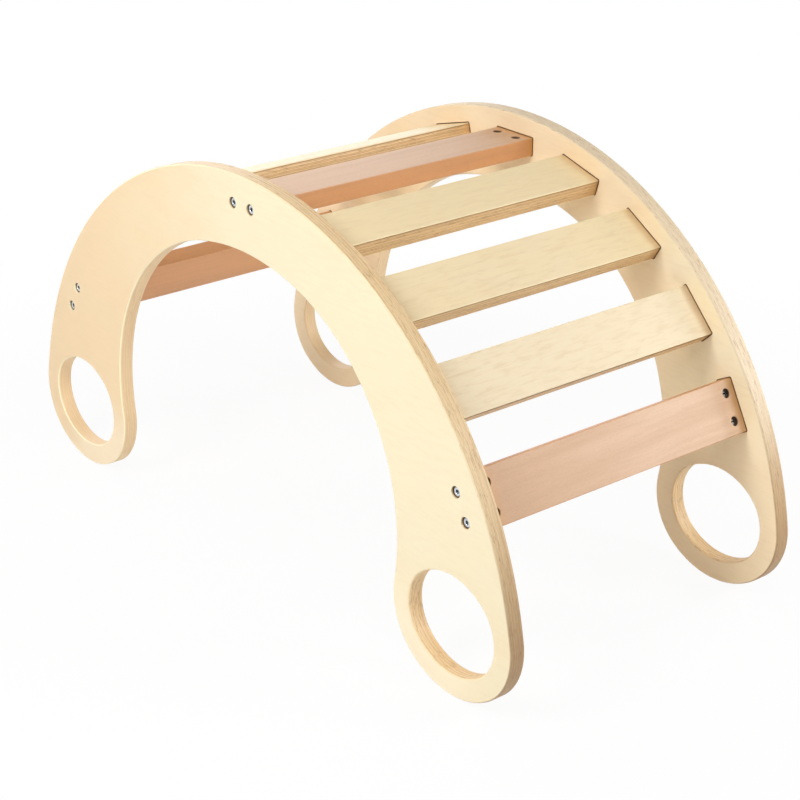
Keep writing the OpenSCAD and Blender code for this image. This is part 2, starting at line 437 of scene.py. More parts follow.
# %% Graphs
def named_socket(sockets, key):
    """A socket by its place, its identifier or its name."""
    if isinstance(key, int):
        return sockets[key]
    for socket in sockets:
        if socket.identifier == key:
            return socket
    return next(s for s in sockets if s.name == key and s.enabled)


def opaque(colour):
    return colour if isinstance(colour, Wire) else (*colour, 1)


class Graph:
    """A node tree that nodes are added to by one method."""

    def __init__(self, tree):
        self.tree = tree
        self.column = 0

    def add(self, kind, settings=(), sockets=(), out=0):
        """Adds a node of this kind, and returns its output as a wire."""
        node = self.tree.nodes.new(kind)
        self.column += 1
        node.location = (180 * (self.column % 12), -220 * (self.column // 12))
        for name, value in dict(settings).items():
            setattr(node, name, value)
        for key, value in dict(sockets).items():
            socket = named_socket(node.inputs, key)
            if isinstance(value, Wire):
                self.tree.links.new(value.socket, socket)
            else:
                socket.default_value = value
        return Wire(self, named_socket(node.outputs, out)) if node.outputs else node

    def vector(self, x, y, z):
        return self.add("ShaderNodeCombineXYZ", {}, {"X": x, "Y": y, "Z": z})

    def separate(self, vector):
        parts = self.add("ShaderNodeSeparateXYZ", {}, {"Vector": vector}, "X")
        return parts, parts.other("Y"), parts.other("Z")

    def scaled(self, vector, factors):
        return self.add("ShaderNodeVectorMath", {"operation": "MULTIPLY"}, {0: vector, 1: factors})

    def smooth(self, value, low, high, start=0.0, end=1.0):
        """From start to end, with soft ends, as value goes from low to high."""
        sockets = {"Value": value, "From Min": low, "From Max": high, "To Min": start, "To Max": end}
        return self.add("ShaderNodeMapRange", {"interpolation_type": "SMOOTHSTEP"}, sockets)

    def between(self, factor, one, two):
        """Mixes two colours."""
        sockets = {"Factor_Float": factor, "A_Color": opaque(one), "B_Color": opaque(two)}
        return self.add("ShaderNodeMix", {"data_type": "RGBA", "clamp_factor": True}, sockets,
                        "Result_Color")

    def flecks(self, place, outer, inner, left_out):
        """Spots in the cells of a pattern, but in none of the share that is left out."""
        cells = self.add("ShaderNodeTexVoronoi", {"feature": "F1"}, {
            "Vector": place, "Scale": 1.0, "Randomness": 1.0}, "Distance")
        chosen, _, _ = self.separate(cells.other("Color"))
        return self.smooth(cells, outer, inner) * (chosen > left_out)

    def noise(self, vector, scale, detail=2.0, roughness=0.5, distortion=0.0):
        sockets = {"Vector": vector, "Scale": scale, "Detail": detail, "Roughness": roughness,
                   "Distortion": distortion}
        return self.add("ShaderNodeTexNoise", {}, sockets, "Fac")


# %% [markdown]
# ## Crossbars by Geometry Nodes
# Nine crossbars follow one rule: equal steps of angle round the centre of the outer arc. The
# rule is written once, as the nodes that end every tree: they put a piece at each step, turned
# to face outwards. Before that, a bar's tree stores where each point is on the bar itself, as
# the attribute `board`. The grain will read it, so it follows each bar, however that is turned.

# %% A tree that sets things round the arch
ARCH_INPUTS = {"Count": "Int", "First": "Float", "Stride": "Float", "Pitch": "Float",
               "Radius": "Float", "Centre Height": "Float", "Material": "Material"}
arch_sizes = {"Count": 3, "Pitch": bar_pitch, "Radius": bar_radius, "Centre Height": outer_centre.y}
beech_places = {"First": float(LEFT), "Stride": float(RIGHT)}


def new_tree(name, *sizes):
    """A geometry tree with these sizes as inputs, and with those that every tree here has."""
    tree = bpy.data.node_groups.new(name, "GeometryNodeTree")
    inputs = {"Geometry": "Geometry", **dict.fromkeys(sizes, "Float"), **ARCH_INPUTS}
    for label, kind in inputs.items():
        tree.interface.new_socket(label, in_out="INPUT", socket_type="NodeSocket" + kind)
    tree.interface.new_socket("Geometry", in_out="OUTPUT", socket_type="NodeSocketGeometry")
    graph = Graph(tree)
    return graph, graph.add("NodeGroupInput", {}, {}, "Geometry")


def store(graph, geometry, name, value, kind="FLOAT_VECTOR"):
    """Stores a value at each point, under a name that a material reads."""
    return graph.add("GeometryNodeStoreNamedAttribute", {"data_type": kind}, {
        "Geometry": geometry, "Name": name, "Value": value})


def round_the_arch(graph, source, geometry):
    """Ends a tree: geometry at each step round the arch, turned outwards, in its material."""
    index = graph.add("GeometryNodeInputIndex")
    place = index * source.other("Stride") + source.other("First")
    angle = place * source.other("Pitch")
    radius = source.other("Radius")
    height = source.other("Centre Height") + radius * angle.cosine()
    points = graph.add("GeometryNodePoints", {}, {
        "Count": source.other("Count"), "Position": graph.vector(radius * angle.sine(), 0, height)})
    copies = graph.add("GeometryNodeInstanceOnPoints", {}, {
        "Points": store(graph, points, "place", place, "FLOAT"), "Instance": geometry,
        "Rotation": graph.vector(0, angle, 0)})
    real = graph.add("GeometryNodeRealizeInstances", {}, {"Geometry": copies})
    painted = graph.add("GeometryNodeSetMaterial", {}, {
        "Geometry": real, "Material": source.other("Material")})
    graph.add("NodeGroupOutput", {}, {"Geometry": painted})
    return graph.tree


def run_tree(name, tree, values, mesh=None):
    """A finished piece: what the tree makes, with these inputs, of a mesh or of nothing."""
    piece = add_object(name, mesh or bpy.data.meshes.new(name))
    modifier = piece.modifiers.new(name, "NODES")
    modifier.node_group = tree
    for item in tree.interface.items_tree:
        if item.in_out == "INPUT" and item.name in values:
            modifier[item.identifier] = values[item.name]
    made = evaluated_mesh(piece)
    piece.modifiers.clear()
    piece.data = made
    return settle(piece)


# %% [markdown]
# The crossbar itself is a rectangle with filleted corners, swept along its length. A router and
# sandpaper give a real bar the same soft long edges. The beech bars also get the holes for
# their barrel nuts: cylinders subtracted by Mesh Boolean, each with a small cone at its mouth
# where the drill's edge was eased.

# %% The crossbar trees
corner_steps = 7
hole_ease = 0.12 * MM


def swept_bar(graph, source):
    """A bar along Y, with the middle of its outer face at the origin."""
    width, thickness, length = (source.other(n) for n in ("Width", "Thickness", "Length"))
    section = graph.add("GeometryNodeCurvePrimitiveQuadrilateral", {"mode": "RECTANGLE"},
                        {"Width": width, "Height": thickness})
    rounded = graph.add("GeometryNodeFilletCurve", {"mode": "POLY"}, {
        "Curve": section, "Count": corner_steps, "Radius": source.other("Rounding")})
    axis = graph.add("GeometryNodeCurvePrimitiveLine", {}, {
        "Start": graph.vector(0, length * -0.5, thickness * -0.5),
        "End": graph.vector(0, length * 0.5, thickness * -0.5)})
    return graph.add("GeometryNodeCurveToMesh", {}, {
        "Curve": axis, "Profile Curve": rounded, "Fill Caps": True})


def with_nut_holes(graph, source, bar):
    """Drills the bar from its outer face for two barrel nuts at each end."""
    hole, depth = source.other("Hole"), source.other("Hole Depth")
    above = 2 * MM
    drill = graph.add("GeometryNodeMeshCylinder", {"fill_type": "NGON"}, {
        "Vertices": round_steps, "Radius": hole * 0.5, "Depth": depth + above})
    drill = graph.add("GeometryNodeTransform", {}, {
        "Geometry": drill, "Translation": graph.vector(0, 0, (above - depth) * 0.5)})
    mouth = graph.add("GeometryNodeMeshCone", {"fill_type": "NGON"}, {
        "Vertices": round_steps, "Radius Top": hole * 0.5 + 2 * hole_ease,
        "Radius Bottom": hole * 0.5 - hole_ease, "Depth": 3 * hole_ease})
    mouth = graph.add("GeometryNodeTransform", {}, {
        "Geometry": mouth, "Translation": (0, 0, -2 * hole_ease)})
    index = graph.add("GeometryNodeInputIndex")
    x = (index % 2 - 0.5) * source.other("Hole Spacing")
    y = ((index / 2).floor() - 0.5) * 2 * source.other("Hole Y")
    places = graph.add("GeometryNodePoints", {}, {"Count": 4, "Position": graph.vector(x, y, 0)})
    for cutter in (drill, mouth):
        placed = graph.add("GeometryNodeInstanceOnPoints", {}, {
            "Points": places, "Instance": cutter})
        cutters = graph.add("GeometryNodeRealizeInstances", {}, {"Geometry": placed})
        bar = graph.add("GeometryNodeMeshBoolean", {"operation": "DIFFERENCE", "solver": "EXACT"},
                        {"Mesh 1": bar, "Mesh 2": cutters})
    return bar


def bar_tree(name, drilled):
    graph, source = new_tree(name, "Width", "Thickness", "Rounding", "Length", "Hole",
                             "Hole Depth", "Hole Spacing", "Hole Y")
    bar = swept_bar(graph, source)
    if drilled:
        bar = with_nut_holes(graph, source, bar)
    bar = store(graph, bar, "board", graph.add("GeometryNodeInputPosition"))
    return round_the_arch(graph, source, bar)


# %% [markdown]
# ## Wood
# Wood is read in three steps. Where is this point in the board: across it, along it, how deep?
# Which way does its surface face, along the grain or across it? And what has the tree drawn
# there? Every pattern below is stretched along the grain, because vessels, rays and growth
# rings all run lengthwise.
#
# Birch plywood is the interesting one. It is 11 veneers, glued with the grain turned a quarter
# at each layer, so a cut edge shows stripes: a veneer seen from its side is pale, and one seen
# on its end is darker, because the open ends of its vessels swallow light. Which of the two a
# point shows depends on its layer and on its normal, and both are known in object space.

# %% Colours of the woods, as linear values
def linear(red, green, blue):
    """A colour written as sRGB bytes, as linear values."""
    def channel(byte):
        part = byte / 255
        return part / 12.92 if part <= 0.04045 else ((part + 0.055) / 1.055) ** 2.4
    return tuple(channel(byte) for byte in (red, green, blue))


BIRCH_WARM = linear(240, 212, 170)
BIRCH_PALE = linear(239, 226, 192)
FAR_WARM = linear(252, 226, 187)
FAR_LIT_PALE = linear(252, 238, 203)
BIRCH_LIT_FOOT = linear(253, 239, 212)
BIRCH_PAINTED_SHADE = linear(176, 132, 88)
BIRCH_CLOUD = linear(226, 198, 156)
BIRCH_STREAK = linear(206, 174, 130)
SLAT_WARM = linear(246, 224, 179)
SLAT_PALE = linear(245, 227, 193)
PLY_FRONT_HIGHLIGHT = linear(255, 245, 208)
PLY_SIDE = linear(241, 213, 166)
PLY_END = linear(225, 188, 140)
PLY_LIT_PALE = linear(232, 216, 188)
SLAT_SIDE = linear(246, 214, 162)
SLAT_END = linear(230, 190, 136)
PLY_STREAK = linear(160, 116, 72)
PLY_END_SHADE = linear(142, 100, 60)
PLY_GLUE = linear(120, 80, 44)
GAP_SHADE = linear(120, 62, 20)
JOINT_SHADE = linear(212, 156, 84)
BEECH_LEFT_SHADE = linear(230, 172, 122)
BEECH_WARM = linear(206, 160, 119)
BEECH_PALE = linear(229, 193, 160)
BEECH_RING = linear(194, 146, 106)
BEECH_EDGE_SHADE = linear(226, 166, 114)
BEECH_FLECK = linear(150, 98, 64)
BEECH_END = linear(180, 130, 90)
BORE_SHADE = linear(44, 26, 16)
ZINC = linear(222, 226, 230)
ZINC_DULL = linear(176, 184, 194)
SOCKET_SHADE = linear(62, 88, 96)
GRAIN_RELIEF = 0.04 * MM
OIL_COAT = 0.06


def shader_graph(owner):
    """The emptied shader tree of a material or a world."""
    owner.use_nodes = True
    owner.node_tree.nodes.clear()
    return Graph(owner.node_tree)


def new_material(name):
    material = bpy.data.materials.new(name)
    return material, shader_graph(material)


def finish_material(graph, colour, roughness, height, relief, coat=0.0, metallic=0.0):
    """A Principled surface whose colour, roughness and bump come from the graph."""
    normal = graph.add("ShaderNodeBump", {}, {
        "Strength": 1.0, "Distance": relief, "Height": height}, "Normal")
    surface = graph.add("ShaderNodeBsdfPrincipled", {}, {
        "Base Color": colour, "Roughness": roughness, "Metallic": metallic, "Normal": normal,
        "Coat Weight": coat, "Coat Roughness": 0.35}, "BSDF")
    graph.add("ShaderNodeOutputMaterial", {}, {"Surface": surface})


# %% [markdown]
# The face of a rotary-cut birch veneer is almost plain. What it has is faint and large: cloudy
# patches where the knife met the growth rings at a low angle, wisps along the grain, fine
# streaks, and now and then a short brown fleck. All of it stays within a few per cent of the
# base colour, or the panels would look like pine.

# %% Birch veneer, seen on its face
def veneer_face(graph, along, across, seed, pale, figure, warm_colour, pale_colour):
    """Colour and height of a birch face; along and across are in metres.

    pale goes from 0, where the veneer is warm, to 1, where it is pale. figure says how much
    of the wisps and streaks shows.
    """
    place = graph.vector(along, across, seed)
    clouds = graph.noise(graph.scaled(place, (7, 16, 1)), 1.0, 2.0, 0.5)
    wisps = graph.noise(graph.scaled(place, (40, 210, 1)), 1.0, 3.0, 0.6, distortion=0.5)
    streaks = graph.noise(graph.scaled(place, (26, 900, 1)), 1.0, 3.0, 0.6)
    pores = graph.noise(graph.scaled(place, (160, 3600, 1)), 1.0, 2.0, 0.6)
    paleness = graph.smooth(pale + (clouds - 0.5) * 0.9, 0.0, 1.0)
    colour = graph.between(paleness, warm_colour, pale_colour)
    colour = graph.between(graph.smooth(wisps, 0.42, 0.74) * figure, colour, BIRCH_CLOUD)
    colour = graph.between(graph.smooth(streaks, 0.5, 0.8) * (figure * 0.4), colour, BIRCH_STREAK)
    fleck = graph.flecks(graph.scaled(place, (26, 340, 1)), 0.16, 0.05, 0.93)
    colour = graph.between(fleck * (figure * 0.7), colour, BIRCH_STREAK)
    height = streaks * 0.5 + pores * 0.5 - fleck * 0.4
    return colour, height


# %% [markdown]
# On the edge the layers wander by a fraction of a millimetre, and each has a tone of its own.
# Sanding rounds the edge through the outer veneer, which shows as a pale line along its arris, made
# brighter still as a painted highlight. Brown streaks run along the edge where the saw laid long
# vessels open.

# %% Birch plywood, seen on its edge
PLIES = 11
LAYER_WANDER = 1.1 * MM


def ply_edge(graph, depth, thickness, end_even, end_odd, place, seed, colours, lit_paleness, glue,
             streaked=1.0, sanded=0.3, highlight=0.9):
    """Colour and height of a plywood edge.

    depth is measured from one face. end_even and end_odd say how much the end of the grain shows in
    the even and in the odd veneers, whose two colours are given. place is a vector in the plane of
    the layers. lit_paleness makes the wood paler, as painted light, glue darkens the glue lines, and
    streaked says how much the brown streaks show. sanded is how much of the outer veneer is worked
    round, and so pale, and highlight says how pale that line is: partly the veneer's own colour,
    partly a painted highlight.
    """
    px, py, _ = graph.separate(place)

    def along_edge(scale, layer_scale, detail, roughness=0.55):
        spot = graph.vector(px * scale, py * scale, depth * layer_scale + seed)
        return graph.noise(spot, 1.0, detail, roughness, distortion=0.6)

    wander = graph.noise(graph.vector(px * 22, py * 22, seed), 1.0, 2.0)
    layer = (depth + (wander - 0.5) * LAYER_WANDER) / thickness * PLIES
    number = layer.floor()
    inside = layer - number
    odd = number % 2
    end_grain = end_even * (1 - odd) + end_odd * odd
    own_tone = graph.add("ShaderNodeTexWhiteNoise", {"noise_dimensions": "1D"},
                         {"W": number + seed}, "Value")
    fibre = along_edge(420, 2600, 3.0)
    slow = along_edge(18, 520, 2.0)
    dark = end_grain * 0.55 + own_tone * 0.35 + (fibre - 0.5) * 0.6 + (slow - 0.5) * 1.0
    colour = graph.between(graph.smooth(dark, 0.0, 1.0), *colours)
    colour = graph.between(lit_paleness, colour, PLY_LIT_PALE)
    streak = graph.smooth(along_edge(90, 1000, 3.0, 0.65), 0.52, 0.7)
    colour = graph.between(streak * (streaked * 0.62), colour, PLY_STREAK)
    line = graph.smooth(abs(inside - 0.5), 0.36, 0.5)
    shown = graph.smooth(along_edge(12, 700, 1.0), 0.36, 0.62, 0.15 * glue, glue)
    colour = graph.between(line * shown, colour, PLY_GLUE)
    first_line = graph.smooth(abs(layer - 1.1), 0.5, 0.15)
    colour = graph.between(first_line * (glue - 0.5) * 1.2, colour, PLY_GLUE)
    # Painted highlight: the sanded outer veneer's pale line, made as bright as a lit arris.
    rim = graph.smooth(layer, sanded + 0.4, sanded)
    colour = graph.between(rim * highlight, colour, PLY_FRONT_HIGHLIGHT)
    height = fibre * 0.4 - line * 0.4 - end_grain * 0.2
    return colour, height


def finish_plywood(graph, colour, on_edge, face_height, edge_height):
    """Oiled plywood, whose edges are a little rougher than its faces."""
    height = face_height * (1 - on_edge) + edge_height * on_edge
    rough = graph.smooth(height, 0.2, 0.8, 0.44, 0.54) + on_edge * 0.1
    finish_material(graph, colour, rough, height, GRAIN_RELIEF, OIL_COAT)


# %% [markdown]
# The panels are made of that plywood. The depth of a point below the outer face comes from its Y
# alone, and the layers' grain runs by turns along X and along Z. On the flat faces the veneer's face
# shows, and on the rims and in the hand holes the edge does. The true normal picks between them.
# Sandpaper has rounded the rims through the outer veneer, and a pale line runs along them, made
# brighter as a painted highlight, most of all on the left.
#
# The panels' colour also holds painted light and shade. Both panels grow paler from left to right,
# the near one is palest at its feet, and the far one is paler than the near one and palest at its
# right shoulder: painted light. Beside the far one's right hand hole it is browner, with painted
# shadow, and the rims round the ends of the feet are darkened with painted shade.
#
# A second material has the same patterns, darkened with painted shade in the housings and below the
# mouths of the bolt holes, which is why a dark line stands round the end of each crossbar.

# %% Material of the panels
# Where the panels' tones change, in metres: along X, and up from the floor along Z.
LEFT_TO_RIGHT = -0.36, 0.1
TO_RIGHT_SHOULDER = 0.16, 0.36
TO_INNER_SIDE = 0.39, 0.33
TO_RIGHT_HOLE = 0.37, 0.3
TO_SHADED_ENDS = 0.35, 0.4
ABOVE_FEET = 0.1, 0.24
INTO_FEET = 0.12, 0.04
BELOW_HOLES = 0.2, 0.12
INTO_END_SHADE = 0.25, 0.06


def panel_face(graph, x, y, z, far, rightwards, above_foot):
    """Colour and height of the panels' outer veneers, with painted light and shade in the colour."""
    near = 1 - far
    # Painted light: the veneer is paler to the right and at the far panel's right shoulder, and the
    # far panel's colours are paler than the near one's.
    lit_shoulder = graph.smooth(x, *TO_RIGHT_SHOULDER) * above_foot
    pale = rightwards * (1 - far * 0.6) * (above_foot * 0.2 + 0.8) + far * lit_shoulder * 0.5
    warm_colour = graph.between(far, BIRCH_WARM, FAR_WARM)
    pale_colour = graph.between(far, BIRCH_PALE, FAR_LIT_PALE)
    colour, height = veneer_face(graph, x + y * 13, z, far * 6 - 3, pale, 0.14,
                                 warm_colour, pale_colour)
    # Painted light: the near panel's feet are paler.
    foot = graph.smooth(z, *INTO_FEET) * graph.smooth(abs(x), *TO_INNER_SIDE)
    colour = graph.between(foot * near * 0.5, colour, BIRCH_LIT_FOOT)
    # Painted shadow: the far panel is darker beside its right hand hole.
    shade_by_hole = graph.smooth(x, *TO_RIGHT_HOLE) * graph.smooth(z, *BELOW_HOLES)
    return graph.between(shade_by_hole * far * rightwards * 0.22, colour, BIRCH_PAINTED_SHADE), height


def panel_edge(graph, x, z, normal, depth, far, rightwards, above_foot):
    """Colour and height of the panels' rims and of the walls of their hand holes."""
    across, _, upright = normal
    leftwards = 1 - rightwards
    # Painted light: the far panel's rims are paler to the right, above the feet.
    colour, height = ply_edge(
        graph, depth, panel_thickness, across * across, upright * upright,
        graph.vector(x, z, 0), far * 10 - 5, (PLY_SIDE, PLY_END),
        lit_paleness=far * rightwards * above_foot * 0.7, glue=0.5, streaked=rightwards * 0.5 + 0.5,
        sanded=0.7, highlight=0.95 - rightwards * 0.6)
    colour = graph.between(leftwards * 0.5, colour, FAR_WARM)
    # Painted highlight: on the left the rim carries a bright line, and it fades towards the right.
    rim_highlight = graph.smooth(depth, rim_round * 0.9, rim_round * 0.6)
    colour = graph.between(leftwards * rim_highlight * 0.9, colour, PLY_FRONT_HIGHLIGHT)
    # Painted shade: the rims round the ends of the feet are darker towards the floor.
    from_end = distance(abs(x) - outer_end.x, z - outer_end.y)
    shaded_end = (from_end > hole_end_radius + foot_wall / 2) * graph.smooth(abs(x), *TO_SHADED_ENDS)
    return graph.between(shaded_end * graph.smooth(z, *INTO_END_SHADE) * 0.6, colour, PLY_END_SHADE), height


def panel_material(name, gap_shade):
    material, graph = new_material(name)
    x, y, z = graph.separate(graph.add("ShaderNodeTexCoord", {}, {}, "Object"))
    true_normal = graph.add("ShaderNodeNewGeometry", {}, {}, "True Normal")
    normal = graph.separate(graph.add("ShaderNodeVectorTransform", {
        "vector_type": "NORMAL", "convert_from": "WORLD", "convert_to": "OBJECT"},
        {"Vector": true_normal}))
    depth = outer_face - abs(y)
    drift = (y > 0, graph.smooth(x, *LEFT_TO_RIGHT), graph.smooth(z, *ABOVE_FEET))
    face_colour, face_height = panel_face(graph, x, y, z, *drift)
    edge_colour, edge_height = panel_edge(graph, x, z, normal, depth, *drift)
    on_edge = graph.smooth(abs(normal[1]), 0.99, 0.85)
    colour = graph.between(on_edge, face_colour, edge_colour)
    # Painted shade: in the housings and below the mouths of the bolt holes the second material turns
    # dark.
    past_mouth = graph.smooth(depth, head_recess - 0.4 * MM, head_recess + 0.2 * MM)
    colour = graph.between(past_mouth * gap_shade, colour, GAP_SHADE)
    finish_plywood(graph, colour, on_edge, face_height, edge_height)
    return material


# %% [markdown]
# A slat is plywood too, but it lies in the arch at its own angle, so Object coordinates would
# run the grain askew. Its `board` attribute was stored before the slat was placed: x across,
# y along, z down from the outer face. The layers are parallel to the broad faces, with the
# outer grain along the slat. A stored number for each bar moves the pattern and sets its tone,
# so that no two slats look alike. The lowest ones are the palest, and have the darkest edges.
# Where a bar meets a panel it is darker, with painted shade, which reaches further at the near end,
# where the near panel shades it.

# %% Material of the slats
SHADE_REACH, MORE_AT_NEAR_END = 13 * MM, 15 * MM
DARK_VENEERS = (-0.8 * MM, -1.6 * MM), (-6.5 * MM, -5 * MM)


def stored(graph, name, out):
    """A value that a tree stored."""
    settings = {"attribute_type": "GEOMETRY", "attribute_name": name}
    return graph.add("ShaderNodeAttribute", settings, {}, out)


def on_long_edge(graph, x, width):
    """1 on a bar's two long edges and 0 on its broad faces."""
    corner = width / 2 - bar_round
    return graph.smooth(abs(x), corner + bar_round * 0.25, corner + bar_round * 0.65)


def shade_at_joints(graph, colour, y, strength):
    """Painted shade: darkens a bar towards its ends, by strength, and the part in the housing most.
    """
    # Painted shade, longer at the near end, and darkest where the bar goes into the housing.
    reach = (y < 0) * MORE_AT_NEAR_END + SHADE_REACH
    joint_shade = graph.smooth(abs(y), inner_face - reach, inner_face)
    colour = graph.between(joint_shade * strength, colour, JOINT_SHADE)
    contact_shade = graph.smooth(abs(y), inner_face - 0.8 * MM, inner_face - 0.2 * MM)
    return graph.between(contact_shade * 0.8, colour, GAP_SHADE)


def slat_material():
    material, graph = new_material("slat plywood")
    x, y, z = graph.separate(stored(graph, "board", "Vector"))
    place = stored(graph, "place", "Fac")
    from_top = abs(place)
    seed = place * 3.7
    pale = graph.smooth(from_top, 1.2, 3.2)
    figure = graph.smooth(from_top, 1.0, 3.0, 0.3, 0.42)
    face_colour, face_height = veneer_face(graph, y, x + seed * 0.1, seed, pale, figure,
                                           SLAT_WARM, SLAT_PALE)
    edge_colour, edge_height = ply_edge(
        graph, 0 - z, slat_thickness, 0.0, 1.0, graph.vector(y, 0, 0), seed,
        (SLAT_SIDE, SLAT_END), lit_paleness=0.0, glue=1.0)
    top, bottom = (graph.smooth(z, *limits) for limits in DARK_VENEERS)
    dark = top * bottom * graph.smooth(from_top, 2.0, 3.0)
    edge_colour = graph.between(dark * 0.7, edge_colour, PLY_GLUE)
    on_edge = on_long_edge(graph, x, slat_width)
    colour = graph.between(on_edge, face_colour, edge_colour)
    colour = shade_at_joints(graph, colour, y, 0.42)
    finish_plywood(graph, colour, on_edge, face_height, edge_height)
    return material


# %% [markdown]
# Beech is told from birch by its colour, which is pinker, and by its rays: short dark dashes, one to
# three millimetres long and very narrow, thickly and evenly strewn over the face. They are one
# Voronoi pattern, squeezed across the grain, of which only some cells are used. The colour also
# holds painted light and shade: the right bar and the bars' far ends are paler, the left bar and the
# long edges are darker and more orange, and the holes for the barrel nuts are darkened inside with
# painted shade.

# %% Material of the beech bars
def beech_material():
    material, graph = new_material("solid beech")
    x, y, z = graph.separate(stored(graph, "board", "Vector"))
    place = stored(graph, "place", "Fac")
    seed = place * 5.1
    waves = graph.noise(graph.vector(y * 5, (x + z * 0.7) * 30, seed), 1.0, 3.0, 0.55)
    rings = graph.noise(graph.vector(y * 3, (x * 0.9 + z) * 110 + waves * 2, seed), 1.0, 2.0, 0.5)
    fibre = graph.noise(graph.vector(y * 60, x * 1700, z * 1700 + seed), 1.0, 3.0, 0.6)
    # Painted light: the right bar is paler, and each bar is paler towards its far end.
    beech_light = graph.smooth(place, 0.0, RIGHT, 0.4, 1.0) * graph.smooth(y, -0.24, 0.14, 0.08, 1.0)
    colour = graph.between(beech_light, BEECH_WARM, BEECH_PALE)
    # Painted shade: the left bar is darker and more orange.
    colour = graph.between(graph.smooth(place, 0.0, LEFT), colour, BEECH_LEFT_SHADE)
    # Painted shade with warm bounced light: the long edges are more orange.
    colour = graph.between(on_long_edge(graph, x, beech_width), colour, BEECH_EDGE_SHADE)
    ringed = graph.smooth(waves * 0.5 + rings * 0.5, 0.4, 0.7)
    colour = graph.between(ringed * 0.45, colour, BEECH_RING)
    fleck = graph.flecks(graph.vector(y * 330, x * 1500, z * 1500 + seed), 0.42, 0.16, 0.45)
    colour = graph.between(fleck * 0.22, colour, BEECH_FLECK)
    colour = graph.between(graph.smooth(fibre, 0.45, 0.8) * 0.14, colour, BEECH_FLECK)
    colour = shade_at_joints(graph, colour, y, 0.65)
    on_end = graph.smooth(abs(y), bar_length / 2 - 0.6 * MM, bar_length / 2 - 0.2 * MM)
    colour = graph.between(on_end, colour, BEECH_END)
    from_hole = distance(abs(x) - bolt_spacing / 2, abs(y) - (inner_face - nut_setback))
    # Painted shade inside the holes for the barrel nuts.
    in_hole = (from_hole < nut_bore / 2 + 0.05 * MM) * graph.smooth(z, -0.3 * MM, -2 * MM)
    colour = graph.between(in_hole * 0.92, colour, BORE_SHADE)
    height = fibre * 0.6 - fleck * 0.5
    rough = graph.smooth(height, -0.2, 0.6, 0.5, 0.42) + in_hole * 0.3
    finish_material(graph, colour, rough, height, GRAIN_RELIEF, OIL_COAT)
    return material


# %% [markdown]
# The bolts and barrel nuts are plain steel under a thin bright zinc plating. Plating is never quite
# even: it has a cloudy bloom, and small turning marks show through it. Sockets and slots are
# darkened with painted shade, and so is the edge of a bolt's head. The attribute `mouth` has the
# point's x and y from the axis, in radii of the mouth, and how deep it lies.

# %% Material of the fasteners
HEAD_EDGE = 1.48, 1.74
FINISH_RELIEF = 0.01 * MM


def zinc_material():
    material, graph = new_material("zinc plated steel")
    place = graph.add("ShaderNodeTexCoord", {}, {}, "Object")
    bloom = graph.noise(place, 260.0, 3.0)
    marks = graph.noise(place, 2600.0, 2.0)
    colour = graph.between(graph.smooth(bloom, 0.35, 0.7), ZINC, ZINC_DULL)
    x, y, down = graph.separate(stored(graph, "mouth", "Vector"))
    from_axis = distance(x, y)
    # Painted shade in sockets and slots, and round the edge of a bolt's head.
    recess = graph.smooth(from_axis, 1.0, 0.93) * graph.smooth(down, 0.1 * MM, 0.9 * MM)
    head_shade = graph.smooth(from_axis, *HEAD_EDGE) * (down < 1 * MM)
    colour = graph.between(head_shade * 0.8, colour, SOCKET_SHADE)
    colour = graph.between(recess * 0.7, colour, SOCKET_SHADE)
    rough = graph.smooth(bloom * 0.6 + marks * 0.4, 0.3, 0.7, 0.16, 0.3)
    finish_material(graph, colour, rough, marks, FINISH_RELIEF, metallic=1.0)
    return material


plywood = panel_material("panel plywood", 0.0)
# This second material carries painted shade in the housings and bolt holes.
shaded_housing_wood = panel_material("shaded routed plywood", 0.9)
slat_plywood = slat_material()
beech = beech_material()
zinc = zinc_material()
for panel in (far_panel, near_panel):
    panel.data.materials.append(plywood)
    panel.data.materials.append(shaded_housing_wood)
print("materials:", [m.name for m in (plywood, shaded_housing_wood, slat_plywood, beech, zinc)])

# %% [markdown]
# With its materials made, each crossbar tree can run: the plain one for the slats of either
# side, and the drilled one for the three beech bars, which are four steps apart.

# %% Make the crossbars
bar_sizes = {"Rounding": bar_round, "Length": bar_length, **arch_sizes}
slat_sizes = {**bar_sizes, "Width": slat_width, "Thickness": slat_thickness, "Stride": 1.0,
              "Material": slat_plywood}
beech_sizes = {**bar_sizes, "Width": beech_width, "Thickness": beech_thickness, **beech_places,
               "Hole": nut_bore, "Hole Depth": beech_thickness / 2 + nut_length / 2,
               "Hole Spacing": bolt_spacing, "Hole Y": inner_face - nut_setback,
               "Material": beech}

plain_bar = bar_tree("plain crossbar", False)
drilled_bar = bar_tree("drilled crossbar", True)
left_slats = run_tree("left_slats", plain_bar, {**slat_sizes, "First": float(SLATS[0])})
right_slats = run_tree("right_slats", plain_bar, {**slat_sizes, "First": float(SLATS[3])})
beech_bars = run_tree("beech_bars", drilled_bar, beech_sizes)

# %% [markdown]
# ## Bolts and barrel nuts
# Both are turned on a lathe, so both are lathed here: a half section is spun about the axis.
# The hexagon socket, its chamfer, the nut's thread and the slot across its end are then cut
# out of the turned solid by Booleans, as a punch and a drill would cut them.

# %% Tools for turned pieces
def lathe(section):
    """A solid spun about Z from (radius, height) points."""
    mesh = bmesh.new()
    rings = [[mesh.verts.new((p.x, p.y, height)) for p in circle_points(Vector((0, 0)), radius)]
             for radius, height in section]
    join_rings(mesh, rings)
    mesh.faces.new(rings[0])
    mesh.faces.new(rings[-1])
    bmesh.ops.recalc_face_normals(mesh, faces=mesh.faces)
    return mesh


